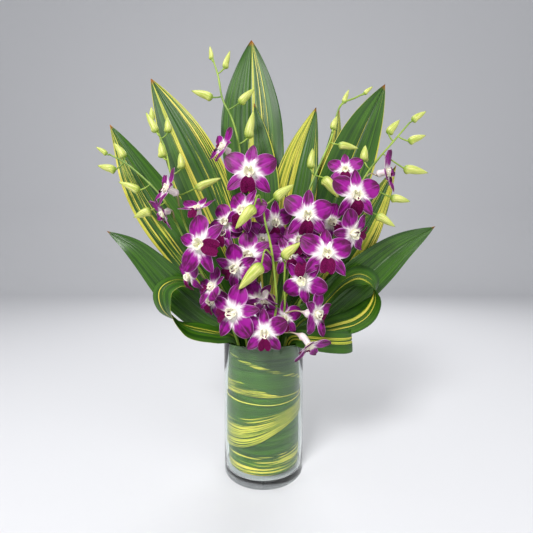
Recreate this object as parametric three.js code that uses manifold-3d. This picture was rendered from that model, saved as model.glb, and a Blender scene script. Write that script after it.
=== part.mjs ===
// Orchid arrangement: dendrobium sprays and broad variegated leaves standing in a clear glass
// cylinder vase lined with rolled leaves. Millimetres, +Z up, the front faces -Y, and the origin
// is the centre of the vase's flat underside.
import * as THREE from 'three';
import { LoftGeometry } from 'three/addons/geometries/LoftGeometry.js';
import { mergeVertices } from 'three/addons/utils/BufferGeometryUtils.js';
import Module from 'manifold-3d';

const wasm = await Module();
wasm.setup();

// Vase
const VASE_RADIUS = 62;
const VASE_HEIGHT = 206;
const VASE_WALL = 3;
const VASE_FLOOR = 12;
const VASE_SEGMENTS = 36;
const RIM_ROUND = 1.2;
const FOOT_ROUND = 2.5;

// Rolled liner leaves: each is a sheet wrapped round inside the wall
const LINER_GAP = 0.9;
const LINER_THICKNESS = 0.8;
const LINER_STEP = 1.4;
const LINER_STATIONS = 22;

// Stems and leaf stalks stand in the vase with their feet drawn in toward the middle
const FOOT_LEVEL = 26;
const FOOT_SPREAD = 0.55;

// Leaves
const LEAF_THICKNESS = 1.2;
const STALK_HALF_WIDTH = 2.6;
const STALK_THICKNESS = 3.6;
const LEAF_STATIONS = 15;
const LOOP_STATIONS = 22;
const TIP_HALF_WIDTH = 0.5;
const LEAF_CUP = 0.1;
// A looped leaf twists between these shares of its length
const TWIST_START = 0.32;
const TWIST_END = 0.7;

// Sprays
const STEM_RADIUS = 2.3;
const STEM_TIP_RADIUS = 1.3;
const STEM_SIDES = 5;
const STEM_STATIONS = 12;
const BUD_STATIONS = 6;
const SHORT_PEDICEL = 5;
const PEDICEL_RADIUS = 1.1;
const BUD_RADIUS = 6.2;

// Flowers
const PETAL_THICKNESS = 1.1;
const NOTCH = 0.46;
const RECURVE = 0.14;
const FLOWER_SPOKES = 15;
const LIP_SIZE = 0.2;
const CHIN_LENGTH = 0.45;
const CHIN_STEP = 1;
const STEM_DROP = 14;

// Clearance kept between neighbouring pieces
const GAP = 0.32;

const v3 = (p) => new THREE.Vector3(p[0], p[1], p[2]);

function direction(azimuth, elevation) {
  const a = THREE.MathUtils.degToRad(azimuth);
  const e = THREE.MathUtils.degToRad(elevation);
  return new THREE.Vector3(Math.sin(a) * Math.cos(e), -Math.cos(a) * Math.cos(e), Math.sin(e));
}

// ---- materials -------------------------------------------------------------------------------

function material(name, colour, roughness, extra = {}) {
  const m = new THREE.MeshStandardMaterial({ color: colour, roughness, metalness: 0, ...extra });
  m.name = name;
  return m;
}

const materials = {
  glass: () => material('clear_glass', 0xdfe8e4, 0.05, { transparent: true, opacity: 0.35 }),
  liner: () => material('liner_leaf', 0x2f6b12, 0.4),
  striped: () => material('variegated_leaf', 0x4c7a1c, 0.45),
  plain: () => material('plain_leaf', 0x1f4f0d, 0.3),
  stem: () => material('spray_stem', 0x8fb03a, 0.5),
  flower: () => material('orchid_petal', 0xa3109a, 0.55),
};

// ---- solids ----------------------------------------------------------------------------------

// A closed three.js geometry as a boolean solid.
function solid(geometry) {
  const bare = new THREE.BufferGeometry();
  bare.setAttribute('position', geometry.getAttribute('position'));
  if (geometry.index) bare.setIndex(geometry.index);
  const welded = mergeVertices(bare, 1e-3);
  const index = welded.index.array;
  const kept = [];
  for (let i = 0; i < index.length; i += 3) {
    const [a, b, c] = [index[i], index[i + 1], index[i + 2]];
    if (a !== b && b !== c && a !== c) kept.push(a, b, c);
  }
  const mesh = new wasm.Mesh({
    numProp: 3,
    vertProperties: new Float32Array(welded.getAttribute('position').array),
    triVerts: new Uint32Array(kept),
  });
  return new wasm.Manifold(mesh);
}

function geometryOf(body) {
  const mesh = body.getMesh();
  const geometry = new THREE.BufferGeometry();
  geometry.setAttribute('position', new THREE.BufferAttribute(mesh.vertProperties, 3));
  geometry.setIndex(new THREE.BufferAttribute(mesh.triVerts, 1));
  geometry.computeVertexNormals();
  return geometry;
}

function largestPiece(body) {
  const pieces = body.decompose();
  return pieces.reduce((a, b) => (b.volume() > a.volume() ? b : a));
}

// A flat strap swept along a curve. frame(u, tangent) gives the across direction, and
// shape(u) gives the half width, the thickness and how far the edges lift toward the face.
function strap(curve, stations, frame, shape, grow) {
  const sections = [];
  for (let i = 0; i <= stations; i += 1) {
    const u = i / stations;
    const centre = curve.getPointAt(u);
    const tangent = curve.getTangentAt(u);
    const across = frame(u, tangent);
    const face = new THREE.Vector3().crossVectors(across, tangent).normalize();
    const { half, thick, cup } = shape(u);
    const ring = [];
    const place = (s, side) => {
      const lift = cup * s * s + side * (thick / 2 + grow);
      const point = centre.clone().addScaledVector(across, s * (half + grow));
      ring.push(point.addScaledVector(face, lift));
    };
    for (const s of [-1, 0, 1]) place(s, 1);
    for (const s of [1, 0, -1]) place(s, -1);
    sections.push(ring);
  }
  return solid(new LoftGeometry(sections, { closed: true, capStart: true, capEnd: true }));
}

// A round rod swept along a curve with a radius that changes along it.
function rod(curve, stations, sides, radiusAt) {
  const sections = [];
  const side = new THREE.Vector3(0, -1, 0);
  for (let i = 0; i <= stations; i += 1) {
    const u = i / stations;
    const centre = curve.getPointAt(u);
    const tangent = curve.getTangentAt(u);
    side.addScaledVector(tangent, -side.dot(tangent)).normalize();
    const other = new THREE.Vector3().crossVectors(tangent, side);
    const ring = [];
    for (let k = 0; k < sides; k += 1) {
      const a = (k / sides) * Math.PI * 2;
      const point = centre.clone().addScaledVector(side, Math.cos(a) * radiusAt(u));
      ring.push(point.addScaledVector(other, Math.sin(a) * radiusAt(u)));
    }
    sections.push(ring);
  }
  return solid(new LoftGeometry(sections, { closed: true, capStart: true, capEnd: true }));
}

// ---- vase ------------------------------------------------------------------------------------

function vaseBody(grow = 0) {
  const outer = VASE_RADIUS + grow;
  const inner = VASE_RADIUS - VASE_WALL - grow;
  const top = VASE_HEIGHT + grow;
  const floor = VASE_FLOOR + grow;
  const profile = [
    [0, 0],
    [outer - FOOT_ROUND, 0],
    [outer, FOOT_ROUND],
    [outer, top - RIM_ROUND],
    [(outer + inner) / 2, top],
    [inner, top - RIM_ROUND],
    [inner, floor + FOOT_ROUND],
    [inner - FOOT_ROUND, floor],
    [0, floor],
  ].map(([r, z]) => new THREE.Vector2(r, z));
  const geometry = new THREE.LatheGeometry(profile, VASE_SEGMENTS);
  geometry.rotateX(Math.PI / 2);
  return solid(geometry);
}

// A liner leaf is wound round the inside. Each of its levels is an angle round the vase from the
// front, and the heights of the leaf's lower and upper edges there.
function linerBody(spec, layer, grow = 0) {
  const radius = VASE_RADIUS - VASE_WALL - LINER_GAP - layer * LINER_STEP + grow;
  const inside = radius - LINER_THICKNESS - 2 * grow;
  const edge = new THREE.CatmullRomCurve3(spec.levels.map(v3), false, 'centripetal');
  const sections = [];
  for (let i = 0; i <= LINER_STATIONS; i += 1) {
    const level = edge.getPointAt(i / LINER_STATIONS);
    const angle = THREE.MathUtils.degToRad(level.x);
    const bottom = level.y - grow;
    const top = level.z + grow;
    const corner = (r, z) => new THREE.Vector3(r * Math.sin(angle), -r * Math.cos(angle), z);
    sections.push([corner(radius, bottom), corner(inside, bottom), corner(inside, top), corner(radius, top)]);
  }
  return solid(new LoftGeometry(sections, { closed: true, capStart: true, capEnd: true }));
}

const LINERS = [
  {
    name: 'liner_leaf_middle',
    levels: [[-150, 40, 90], [-90, 48, 124], [-30, 57, 124], [28, 85, 122], [73, 102, 128], [120, 118, 150],
      [165, 140, 180]],
  },
  {
    name: 'liner_leaf_top',
    levels: [[-175, 112, 180], [-90, 130, 201], [-39, 134, 202], [10, 132, 202], [73, 128, 202],
      [130, 120, 201], [170, 118, 170]],
  },
  {
    name: 'liner_leaf_bottom',
    levels: [[-175, 18, 60], [-90, 18, 130], [0, 18, 132], [90, 18, 128], [150, 18, 60]],
  },
];

// ---- leaves ----------------------------------------------------------------------------------

// Leaf stalk line: from its foot in the vase straight up to its slot at the mouth.
function stalkLine(slot) {
  const foot = new THREE.Vector3(slot[0] * FOOT_SPREAD, slot[1] * FOOT_SPREAD, FOOT_LEVEL);
  const mouth = new THREE.Vector3(slot[0], slot[1], VASE_HEIGHT + 2);
  return [foot, foot.clone().lerp(mouth, 0.5), mouth];
}

// The blade starts where the stalk has left the vase and runs out to a point.
function leafBody(spec, grow = 0) {
  const points = [...stalkLine(spec.slot), ...spec.route.map(v3)];
  const curve = new THREE.CatmullRomCurve3(points, false, 'centripetal');
  const stalkEnd = spec.stalk;
  const face = direction(spec.azimuth, spec.elevation);
  const frame = (u, tangent) => new THREE.Vector3().crossVectors(tangent, face).normalize();
  const shape = (u) => {
    const v = THREE.MathUtils.clamp((u - stalkEnd) / (1 - stalkEnd), 0, 1);
    const swell = Math.sin(Math.PI * v ** spec.belly) ** 0.9;
    const half = STALK_HALF_WIDTH * (1 - v) + (spec.half - STALK_HALF_WIDTH) * swell;
    const flat = Math.min(1, v * 6);
    return {
      half: Math.max(half, TIP_HALF_WIDTH),
      thick: THREE.MathUtils.lerp(STALK_THICKNESS, LEAF_THICKNESS, flat),
      cup: LEAF_CUP * half * flat,
    };
  };
  return strap(curve, LEAF_STATIONS, frame, shape, grow);
}

const LEAVES = [
  {
    name: 'leaf_top', slot: [-10, 42], half: 54, belly: 1.35, stalk: 0.38, azimuth: 0, elevation: 4,
    route: [[-9, 46, 330], [-14, 50, 450], [-21, 54, 570], [-21, 64, 702]],
  },
  {
    name: 'leaf_centre', slot: [-1, 26], half: 27, belly: 1.2, stalk: 0.42, azimuth: 0, elevation: 4,
    route: [[4, 28, 340], [0, 30, 450], [-8, 35, 530], [-16, 42, 588]],
  },
  {
    name: 'leaf_left', slot: [-27, 36], half: 48, belly: 1.25, stalk: 0.3, azimuth: -6, elevation: 4,
    route: [[-48, 50, 310], [-90, 58, 425], [-140, 60, 535], [-193, 62, 637]],
  },
  {
    name: 'leaf_left_low', slot: [-39, 23], half: 43, belly: 1.15, stalk: 0.28, azimuth: -12, elevation: 8,
    route: [[-75, 28, 270], [-130, 34, 350], [-193, 38, 440], [-257, 44, 553]],
  },
  {
    name: 'leaf_centre_right', slot: [12, 30], half: 40, belly: 1.15, stalk: 0.32, azimuth: 4, elevation: 4,
    route: [[32, 38, 330], [48, 40, 430], [66, 42, 510], [88, 48, 583]],
  },
  {
    name: 'leaf_behind_right', slot: [19, 43], half: 24, belly: 1.2, stalk: 0.32, azimuth: 6, elevation: 4,
    route: [[55, 62, 320], [98, 68, 430], [120, 70, 510], [132, 74, 590]],
  },
  {
    name: 'leaf_right', slot: [30, 36], half: 44, belly: 1.45, stalk: 0.28, azimuth: 8, elevation: 4,
    route: [[75, 48, 320], [130, 50, 450], [170, 50, 550], [205, 54, 624]],
  },
  {
    name: 'leaf_right_low', slot: [40, 24], half: 32, belly: 1.2, stalk: 0.26, azimuth: 14, elevation: 8,
    route: [[88, 26, 270], [135, 30, 330], [178, 32, 400], [219, 36, 484]],
  },
  {
    name: 'side_leaf_left', slot: [-48, 9], half: 32, belly: 1.1, stalk: 0.2, azimuth: -14, elevation: 12,
    plain: true,
    route: [[-92, 14, 238], [-150, 13, 288], [-205, 12, 345], [-252, 16, 374]],
  },
  {
    name: 'side_leaf_right', slot: [48, 10], half: 38, belly: 1.15, stalk: 0.2, azimuth: 14, elevation: 12,
    plain: true,
    route: [[94, 15, 242], [150, 14, 290], [215, 13, 346], [277, 18, 382]],
  },
];

// A looped leaf goes out over the rim, turns back on itself and is tucked into the vase again.
function loopBody(spec, grow = 0) {
  const start = stalkLine(spec.slot);
  const end = stalkLine(spec.tuck).reverse().slice(0, 2);
  const points = [...start, ...spec.route.map(v3), ...end];
  const curve = new THREE.CatmullRomCurve3(points, false, 'centripetal');
  const twist = new THREE.CatmullRomCurve3(spec.across.map(v3), false, 'centripetal');
  const frame = (u, tangent) => {
    const turn = THREE.MathUtils.clamp((u - TWIST_START) / (TWIST_END - TWIST_START), 0, 1);
    const width = twist.getPoint(turn);
    return width.addScaledVector(tangent, -width.dot(tangent)).normalize();
  };
  const shape = (u) => {
    const v = THREE.MathUtils.clamp((u - spec.stalk) / (spec.taper - spec.stalk), 0, 1);
    const swell = Math.sin(Math.PI * v) ** 0.7;
    const flat = Math.min(1, swell * 2);
    const thick = THREE.MathUtils.lerp(STALK_THICKNESS, LEAF_THICKNESS, flat);
    return { half: STALK_HALF_WIDTH + (spec.half - STALK_HALF_WIDTH) * swell, thick, cup: 0 };
  };
  return strap(curve, LOOP_STATIONS, frame, shape, grow);
}

const LOOPS = [
  {
    name: 'loop_leaf_left', slot: [-46, -16], tuck: [-42, -4], half: 22, stalk: 0.26, taper: 0.8,
    across: [[0.2, -0.6, -0.6], [0.75, -0.6, -0.2], [0.4, -0.8, -0.35]],
    route: [[-74, -32, 218], [-115, -38, 230], [-144, -38, 257], [-148, -34, 284], [-129, -26, 296],
      [-96, -20, 286], [-64, -12, 250]],
  },
  {
    name: 'loop_leaf_right', slot: [47, -10], tuck: [44, 1], half: 22, stalk: 0.26, taper: 0.8,
    across: [[-0.15, -0.65, -0.7], [-0.16, -0.66, -0.68], [-0.15, -0.65, -0.7]],
    route: [[80, -26, 222], [110, -34, 232], [134, -36, 240], [153, -34, 254], [164, -30, 275],
      [162, -24, 296], [146, -18, 305], [124, -12, 295], [90, -8, 258]],
  },
  {
    name: 'loop_leaf_right_low', slot: [40, -28], tuck: [46, -21], half: 17, stalk: 0.3, taper: 0.84,
    across: [[0.1, 0.1, -1], [0.1, 0.1, -1], [0.1, 0.1, -1]],
    route: [[62, -48, 214], [92, -56, 213], [118, -54, 212], [129, -42, 212], [118, -32, 213],
      [88, -30, 214], [64, -26, 213]],
  },
];

// ---- sprays ----------------------------------------------------------------------------------

function stemCurve(spec) {
  const points = [...stalkLine(spec.slot), ...spec.route.map(v3)];
  return new THREE.CatmullRomCurve3(points, false, 'centripetal');
}

// Nearest point of a stem to a place in space, kept above the vase mouth.
function nearestOnStem(curve, place) {
  let best = null;
  for (let i = 0; i <= 80; i += 1) {
    const point = curve.getPointAt(i / 80);
    if (point.z < VASE_HEIGHT + 16) continue;
    if (!best || point.distanceTo(place) < best.distanceTo(place)) best = point;
  }
  return best;
}

// A bud on its pedicel: thin from the stem to the base, then swelling and drawn out to a point.
function budBody(curve, bud, grow) {
  const base = v3(bud.base);
  const tip = v3(bud.tip);
  const root = nearestOnStem(curve, base.clone().lerp(tip, -0.15));
  const behind = base.clone().lerp(tip, -0.2);
  const neck = root.clone().lerp(base, 0.55).lerp(tip, -0.08);
  const close = root.distanceTo(base) < SHORT_PEDICEL;
  const points = close ? [behind, base, tip] : [root, neck, base, tip];
  const line = new THREE.CatmullRomCurve3(points, false, 'centripetal');
  const swellStart = 1 - base.distanceTo(tip) / line.getLength();
  const full = BUD_RADIUS * (bud.size ?? 1);
  const radiusAt = (u) => {
    const v = THREE.MathUtils.clamp((u - swellStart) / (1 - swellStart), 0, 1);
    return PEDICEL_RADIUS * (1 - 0.6 * v) + full * Math.sin(Math.PI * v ** 0.7) ** 0.8 + grow;
  };
  return rod(line, BUD_STATIONS, STEM_SIDES, radiusAt);
}

function sprayBody(spec, grow = 0) {
  const curve = stemCurve(spec);
  const radiusAt = (u) => THREE.MathUtils.lerp(STEM_RADIUS, STEM_TIP_RADIUS, u) + grow;
  let body = rod(curve, STEM_STATIONS, STEM_SIDES, radiusAt);
  for (const bud of spec.buds) body = body.add(budBody(curve, bud, grow));
  return body;
}

const SPRAYS = [
  {
    name: 'spray_top', slot: [-14, -20],
    route: [[-26, -26, 340], [-32, -20, 440], [-36, -14, 495], [-47, -12, 540], [-62, -9, 572],
      [-69, -7, 608], [-79, -5, 640]],
    buds: [
      { base: [-78, -5, 632], tip: [-81, -5, 652], size: 0.6 },
      { base: [-60, -7, 618], tip: [-51, -5, 645], size: 0.75 },
      { base: [-76, -9, 575], tip: [-109, -8, 584] },
      { base: [-38, -9, 566], tip: [-13, -8, 588] },
      { base: [-25, -11, 512], tip: [-15, -9, 554], size: 1.15 },
    ],
  },
  {
    name: 'spray_left', slot: [-28, -12],
    route: [[-66, -16, 290], [-112, -15, 365], [-138, -11, 445], [-150, -8, 497], [-168, -6, 538]],
    buds: [
      { base: [-170, -6, 540], tip: [-171, -5, 562], size: 0.8 },
      { base: [-161, -9, 522], tip: [-178, -10, 552], size: 0.95 },
      { base: [-145, -4, 523], tip: [-148, -3, 548] },
      { base: [-152, -11, 483], tip: [-157, -11, 508] },
      { base: [-124, -7, 467], tip: [-129, -6, 493] },
      { base: [-102, -22, 436], tip: [-62, -28, 450] },
    ],
  },
  {
    name: 'spray_far_left', slot: [-40, -26],
    route: [[-82, -28, 290], [-120, -22, 362], [-151, -16, 420], [-178, -12, 449], [-212, -8, 477],
      [-236, -6, 490]],
    buds: [
      { base: [-239, -6, 491], tip: [-256, -5, 501], size: 0.65 },
      { base: [-212, -4, 486], tip: [-231, -3, 509] },
      { base: [-224, -11, 466], tip: [-251, -12, 471] },
      { base: [-186, -15, 434], tip: [-218, -16, 446] },
      { base: [-168, -22, 404], tip: [-194, -22, 392], size: 1.1 },
    ],
  },
  {
    name: 'spray_front', slot: [6, -46],
    route: [[18, -66, 262], [16, -76, 305], [11, -80, 345], [2, -76, 385], [0, -72, 402]],
    buds: [
      { base: [-12, -86, 402], tip: [-36, -92, 370], size: 1.2 },
      { base: [14, -68, 414], tip: [42, -66, 432], size: 1.1 },
      { base: [-2, -98, 326], tip: [-31, -104, 292], size: 1.35 },
    ],
  },
  {
    name: 'spray_front_short', slot: [20, -40],
    route: [[30, -62, 264], [29, -70, 297], [30, -72, 326]],
    buds: [
      { base: [24, -84, 334], tip: [50, -88, 353], size: 1.1 },
    ],
  },
  {
    name: 'spray_right', slot: [18, -14],
    route: [[42, -20, 330], [66, -14, 425], [82, -10, 465], [103, -6, 513], [119, -3, 566],
      [140, -1, 577], [154, 0, 584]],
    buds: [
      { base: [154, 0, 584], tip: [168, 0, 595], size: 0.55 },
      { base: [122, -1, 569], tip: [131, 0, 590], size: 0.65 },
      { base: [104, -7, 527], tip: [113, -6, 549], size: 0.85 },
      { base: [113, -12, 504], tip: [144, -12, 497], size: 0.9 },
      { base: [70, -14, 466], tip: [75, -13, 498] },
      { base: [90, -26, 452], tip: [111, -34, 419], size: 1.25 },
    ],
  },
  {
    name: 'spray_far_right', slot: [34, -24],
    route: [[80, -30, 320], [124, -26, 400], [154, -18, 456], [176, -14, 484], [197, -12, 508],
      [222, -10, 537]],
    buds: [
      { base: [224, -10, 540], tip: [246, -10, 553], size: 0.85 },
      { base: [187, -11, 520], tip: [207, -9, 541] },
      { base: [218, -13, 508], tip: [246, -13, 517], size: 0.95 },
      { base: [210, -18, 467], tip: [247, -18, 459], size: 1.1 },
      { base: [151, -15, 476], tip: [154, -13, 502], size: 1.1 },
      { base: [190, -22, 423], tip: [220, -20, 416] },
      { base: [165, -36, 396], tip: [191, -38, 377] },
    ],
  },
];

// ---- flowers ---------------------------------------------------------------------------------

// Five-lobed outline of the open flower: one sepal up, two petals beside it, two sepals below.
function lobeReach(angle) {
  const wave = Math.abs(Math.cos(2.5 * (angle - Math.PI / 2)));
  return NOTCH + (1 - NOTCH) * wave ** 0.7;
}

// The axes of a flower: it faces along the third one, and the roll turns the other two.
function flowerAxes(spec) {
  const face = direction(spec.facing[0], spec.facing[1]);
  const right = new THREE.Vector3(0, 0, 1).cross(face).normalize();
  right.applyAxisAngle(face, -THREE.MathUtils.degToRad(spec.facing[2]));
  return { right, top: new THREE.Vector3().crossVectors(face, right), face };
}

// One flower as a single skin: pedicel from the spray, hollow-looking chin, the five-lobed
// recurved dish of sepals and petals, and the blunt lip standing out of the throat.
function flowerBody(spec, grow = 0) {
  const { right, top, face } = flowerAxes(spec);
  const centre = v3(spec.at);
  const size = spec.radius;
  const ring = (middle, across, up, reach) => {
    const points = [];
    for (let k = 0; k < FLOWER_SPOKES; k += 1) {
      const angle = ((k + 0.5) / FLOWER_SPOKES) * Math.PI * 2;
      const point = middle.clone().addScaledVector(across, Math.cos(angle) * reach(angle));
      points.push(point.addScaledVector(up, Math.sin(angle) * reach(angle)));
    }
    return points;
  };
  const level = (forward, lift, reach) => {
    const middle = centre.clone().addScaledVector(face, forward).addScaledVector(top, lift);
    return ring(middle, right, top, reach);
  };
  const round = (radius) => () => radius + grow;
  const spray = SPRAYS.find((other) => other.name === spec.spray);
  const chin = centre.clone().addScaledVector(face, -CHIN_LENGTH * size);
  const root = nearestOnStem(stemCurve(spray), chin.clone().add(new THREE.Vector3(0, 0, -STEM_DROP)));
  const along = chin.clone().sub(root).normalize();
  const across = right.clone().addScaledVector(along, -right.dot(along)).normalize();
  const up = new THREE.Vector3().crossVectors(along, across);
  const half = PETAL_THICKNESS / 2 + grow;
  const rim = -RECURVE * size;
  const lobes = (angle) => size * lobeReach(angle) + grow;
  const sections = [
    ring(root, across, up, round(PEDICEL_RADIUS)),
    ring(chin.clone().lerp(root, 0.2), across, up, round(PEDICEL_RADIUS)),
    level(-CHIN_LENGTH * size, 0, round(0.12 * size)),
    level(-half - CHIN_STEP, 0, round(0.16 * size)),
    level(rim - half, 0, lobes),
    level(rim + half, 0, lobes),
    level(half, -0.06 * size, round(LIP_SIZE * size)),
    level(0.26 * size + grow, -0.2 * size, round(LIP_SIZE * 0.7 * size)),
  ];
  return solid(new LoftGeometry(sections, { closed: true, capStart: true, capEnd: true }));
}

// Each flower: centre, outer radius, facing (azimuth, elevation, roll) and the spray it is on.
const FLOWERS = [
  { at: [-59, -22, 495], radius: 29, facing: [-50, 22, 100], spray: 'spray_top' },
  { at: [-19, -56, 452], radius: 40, facing: [-4, 6, 4], spray: 'spray_top' },
  { at: [-136, -44, 430], radius: 31, facing: [-52, 20, 100], spray: 'spray_left' },
  { at: [-146, -30, 398], radius: 27, facing: [-60, -28, 30], spray: 'spray_far_left' },
  { at: [-82, -88, 350], radius: 41, facing: [-28, 8, 78], spray: 'spray_far_left' },
  { at: [-93, -48, 400], radius: 27, facing: [-20, 62, 0], spray: 'spray_left' },
  { at: [-26, -66, 397], radius: 34, facing: [-30, 12, 24], spray: 'spray_top' },
  { at: [59, -76, 390], radius: 36, facing: [6, 4, 6], spray: 'spray_right' },
  { at: [129, -58, 420], radius: 37, facing: [6, 2, 2], spray: 'spray_far_right' },
  { at: [122, -22, 462], radius: 28, facing: [-14, 24, 0], spray: 'spray_far_right' },
  { at: [180, -26, 458], radius: 31, facing: [56, 4, -60], spray: 'spray_far_right' },
  { at: [124, -60, 366], radius: 36, facing: [34, -16, -96], spray: 'spray_far_right' },
  { at: [82, -92, 338], radius: 38, facing: [8, 24, 6], spray: 'spray_right' },
  { at: [-19, -72, 336], radius: 34, facing: [-14, 6, 60], spray: 'spray_top' },
  { at: [16, -46, 384], radius: 30, facing: [20, -12, 0], spray: 'spray_top' },
  { at: [53, -90, 302], radius: 32, facing: [-30, -10, 176], spray: 'spray_front_short' },
  { at: [-38, -98, 262], radius: 37, facing: [-24, 4, 76], spray: 'spray_top' },
  { at: [2, -104, 238], radius: 31, facing: [0, 4, 0], spray: 'spray_front' },
  { at: [-68, -74, 292], radius: 28, facing: [-46, 30, 60], spray: 'spray_far_left' },
  { at: [70, -86, 258], radius: 33, facing: [48, 0, -60], spray: 'spray_front_short' },
  { at: [62, -72, 214], radius: 28, facing: [38, -44, 0], spray: 'spray_front_short' },
  { at: [2, -68, 276], radius: 25, facing: [-20, -58, 0], spray: 'spray_front' },
  { at: [36, -48, 340], radius: 28, facing: [-8, 12, 30], spray: 'spray_right' },
  { at: [-106, -50, 306], radius: 27, facing: [-50, -14, 0], spray: 'spray_far_left' },
  { at: [-58, -42, 366], radius: 27, facing: [-6, 34, 10], spray: 'spray_left' },
  { at: [-53, -45, 383], radius: 30, facing: [-20, 10, 40], spray: 'spray_left' },
  { at: [-2, -48, 357], radius: 30, facing: [10, 0, 20], spray: 'spray_front' },
  { at: [35, -52, 336], radius: 30, facing: [0, 10, -20], spray: 'spray_front_short' },
  { at: [-37, -74, 319], radius: 32, facing: [-20, -10, 60], spray: 'spray_top' },
  { at: [96, -45, 383], radius: 30, facing: [20, 10, -30], spray: 'spray_right' },
  { at: [52, -50, 357], radius: 28, facing: [-10, 20, 10], spray: 'spray_right' },
  { at: [-72, -60, 273], radius: 28, facing: [-30, -10, 20], spray: 'spray_far_left' },
  { at: [29, -60, 248], radius: 27, facing: [10, 0, 0], spray: 'spray_front_short' },
  { at: [-8, -52, 272], radius: 29, facing: [0, 0, 40], spray: 'spray_front' },
];

// ---- assembly --------------------------------------------------------------------------------

const root = new THREE.Group();
root.name = 'orchid_arrangement';
const placed = [];

function boxesMeet(a, b) {
  return [0, 1, 2].every((i) => a.min[i] < b.max[i] && b.min[i] < a.max[i]);
}

// Adds a piece after clearing it from everything already placed, keeping its main part whole.
function addPiece(name, look, build) {
  let body = build(0);
  for (const other of placed) {
    if (boxesMeet(body.boundingBox(), other.box)) body = body.subtract(other.cutter);
  }
  body = largestPiece(body);
  const cutter = build(GAP);
  placed.push({ cutter, box: cutter.boundingBox() });
  const mesh = new THREE.Mesh(geometryOf(body), look);
  mesh.name = name;
  root.add(mesh);
}

addPiece('vase', materials.glass(), vaseBody);

LINERS.forEach((spec, layer) => {
  addPiece(spec.name, materials.liner(), (grow) => linerBody(spec, layer, grow));
});

for (const spec of SPRAYS) addPiece(spec.name, materials.stem(), (grow) => sprayBody(spec, grow));

for (const spec of LEAVES) {
  const look = spec.plain ? materials.plain() : materials.striped();
  addPiece(spec.name, look, (grow) => leafBody(spec, grow));
}

for (const spec of LOOPS) addPiece(spec.name, materials.striped(), (grow) => loopBody(spec, grow));

FLOWERS.forEach((spec, i) => {
  const name = `flower_${String(i + 1).padStart(2, '0')}`;
  addPiece(name, materials.flower(), (grow) => flowerBody(spec, grow));
});

export default root;
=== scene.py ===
"""Orchid arrangement: the looks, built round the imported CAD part. Metres, +Z up, front faces -Y."""
import math
import random

import bmesh
import bpy
import numpy as np
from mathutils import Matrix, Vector


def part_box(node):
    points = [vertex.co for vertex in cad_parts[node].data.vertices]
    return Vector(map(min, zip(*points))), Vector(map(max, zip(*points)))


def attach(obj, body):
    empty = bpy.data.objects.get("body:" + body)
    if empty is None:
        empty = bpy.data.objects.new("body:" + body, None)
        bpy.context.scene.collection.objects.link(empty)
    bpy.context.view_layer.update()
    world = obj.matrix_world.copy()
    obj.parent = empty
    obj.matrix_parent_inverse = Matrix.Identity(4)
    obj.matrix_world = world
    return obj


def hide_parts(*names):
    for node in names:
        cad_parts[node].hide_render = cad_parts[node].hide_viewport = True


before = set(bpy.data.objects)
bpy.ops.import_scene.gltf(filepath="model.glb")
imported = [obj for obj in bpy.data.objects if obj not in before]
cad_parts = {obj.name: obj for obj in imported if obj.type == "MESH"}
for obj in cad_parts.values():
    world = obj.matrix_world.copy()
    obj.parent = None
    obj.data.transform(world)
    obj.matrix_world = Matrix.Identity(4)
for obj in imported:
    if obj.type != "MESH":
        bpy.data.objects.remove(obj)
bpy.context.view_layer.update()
MM = 0.001

# Driving sizes in millimetres, the same as the CAD part's
VASE_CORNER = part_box("vase")[1]
VASE_RADIUS = VASE_CORNER.x / MM
VASE_HEIGHT = VASE_CORNER.z / MM
VASE_WALL = 3
VASE_FLOOR = 12
FOOT_ROUND = 2.5
FLOOR_ROUND = 4
LINER_GAP = 0.9
LINER_STEP = 1.4
LINER_THICKNESS = 0.8
FOOT_LEVEL = 26
FOOT_SPREAD = 0.55
STALK_HALF_WIDTH = 2.6
STALK_THICKNESS = 3.6
LEAF_THICKNESS = 0.9
LEAF_CUP = 0.1
TWIST_START = 0.32
TWIST_END = 0.7
STEM_RADIUS = 2.2
STEM_TIP_RADIUS = 1.3
PEDICEL_RADIUS = 1.0
BUD_RADIUS = 5.7
CHIN_LENGTH = 0.45
# How far below its chin a flower looks for its stem, and how far above the rim a stem may carry one
STEM_DROP = 14
STEM_CLEAR = 16

# How finely each kind of piece is meshed: rows along it, columns across it or sides round it
VASE_SIDES = 128
LEAF_GRID = (110, 49)
LOOP_GRID = (150, 33)
LINER_GRID = (140, 61)
STEM_GRID = (140, 12)
BUD_GRID = (22, 20)
PEDICEL_GRID = (16, 8)
TEPAL_GRID = (20, 15)
LIP_GRID = (18, 17)
CHIN_GRID = (40, 14)
COLUMN_GRID = (14, 12)
THROAT_SIDES = 24

FLOWER_SEED = 100


def vec(values):
    return np.array(values, float)


def unit(v):
    return v / np.linalg.norm(v)


def direction(azimuth, elevation):
    a, e = math.radians(azimuth), math.radians(elevation)
    return vec([math.sin(a) * math.cos(e), -math.cos(a) * math.cos(e), math.sin(e)])


def clamp01(x):
    return np.clip(x, 0.0, 1.0)


def smooth(a, b, x):
    t = clamp01((x - a) / (b - a))
    return t * t * (3 - 2 * t)


# ---- curves ----------------------------------------------------------------------------------

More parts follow.
